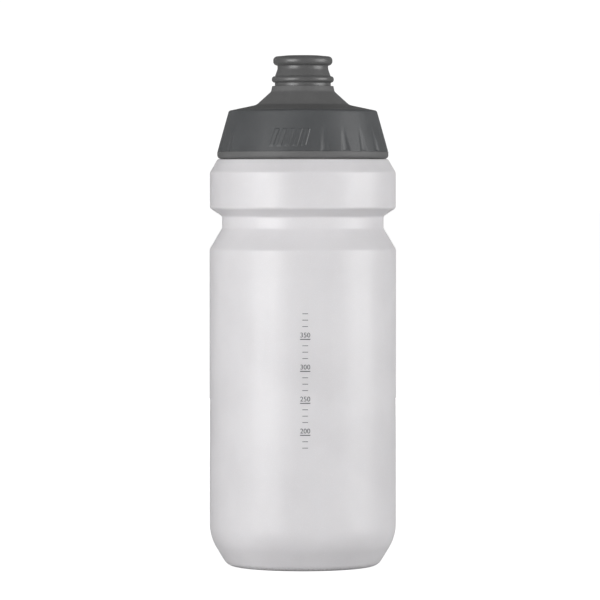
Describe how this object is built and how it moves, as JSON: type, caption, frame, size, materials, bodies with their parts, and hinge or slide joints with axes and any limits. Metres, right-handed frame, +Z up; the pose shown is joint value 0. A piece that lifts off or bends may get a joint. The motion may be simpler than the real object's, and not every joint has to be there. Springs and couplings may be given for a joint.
{
  "type": "squeeze water bottle",
  "caption": "Squeeze bottle for a bicycle cage: waisted body, screw cap with a soft grip sleeve, and a push-pull nozzle.",
  "frame": {"origin": "centre of the base, on the plane that the bottle stands on", "axes": "+Z up along the bottle's axis, -Y towards the front, which carries the raised bars and the scale, +X to the front's right"},
  "size_m": [0.074, 0.074, 0.2025],
  "materials": {
    "bottle_plastic": "pearly white, slightly translucent soft polyethylene with a satin skin",
    "cap_plastic": "dark grey moulded polypropylene, fine matt texture",
    "grip_rubber": "dark grey soft-touch overmould, slightly bluish",
    "insert_plastic": "mid-grey moulded polypropylene",
    "mouth_rubber": "dark grey soft elastomer with a satin sheen",
    "gasket_silicone": "milky silicone",
    "seal_rubber": "black rubber"
  },
  "bodies": {
    "bottle": {"bottle_shell": "bottle_plastic"},
    "gasket": {"neck_gasket": "gasket_silicone"},
    "cap": {"cap_shell": "cap_plastic", "grip_sleeve": "grip_rubber", "spout_insert": "insert_plastic"},
    "nozzle_seal": {"nozzle_o_ring": "seal_rubber"},
    "nozzle": {"nozzle_core": "insert_plastic", "mouthpiece": "mouth_rubber"}
  },
  "joints": [
    {"name": "cap_lift", "type": "slide", "parent": "bottle", "child": "gasket", "axis": [0, 0, 1], "range_m": [0, 0.02026]},
    {"name": "cap_screw", "type": "hinge", "parent": "gasket", "child": "cap", "pos_m": [0, 0, 0.17], "axis": [0, 0, 1], "range_deg": [0, 1620]},
    {"name": "nozzle_pull", "type": "slide", "parent": "cap", "child": "nozzle_seal", "axis": [0, 0, 1], "range_m": [0, 0.007]},
    {"name": "nozzle_spin", "type": "hinge", "parent": "nozzle_seal", "child": "nozzle", "pos_m": [0, 0, 0.19], "axis": [0, 0, 1], "continuous": true}
  ],
  "couplings": [
    {"joint": "cap_lift", "follows": "cap_screw", "m_per_rad": 0.0007162}
  ]
}
